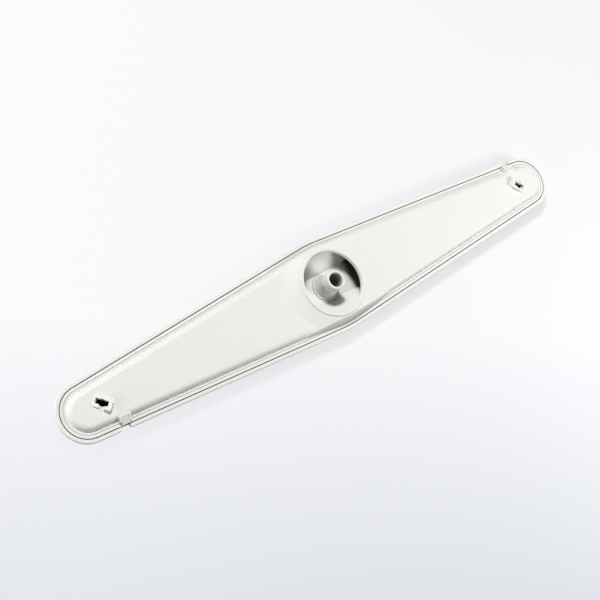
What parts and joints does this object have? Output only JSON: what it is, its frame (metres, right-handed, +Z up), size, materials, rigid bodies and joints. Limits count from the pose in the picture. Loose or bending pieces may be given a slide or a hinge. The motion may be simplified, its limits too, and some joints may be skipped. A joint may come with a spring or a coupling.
{
  "type": "dishwasher spray arm",
  "caption": "Long moulded spray arm with tapering round-ended arms, a shallow nozzle shell, a welded cover with a round hub inlet, angled drive jets and a central bearing sleeve.",
  "frame": {"origin": "on the spin axis, at the surface that the foot ring rests on", "axes": "+Z up along the spin axis out of the inlet, +X along the arms, +Y across them"},
  "size_m": [0.4736, 0.074, 0.0237],
  "materials": {
    "shell_plastic": "satin moulded polypropylene",
    "cover_plastic": "fine satin moulded polypropylene",
    "sleeve_plastic": "smooth white bearing plastic"
  },
  "bodies": {
    "root": {"nozzle_shell": "shell_plastic", "inlet_cover": "cover_plastic", "bearing_sleeve": "sleeve_plastic"}
  },
  "joints": []
}
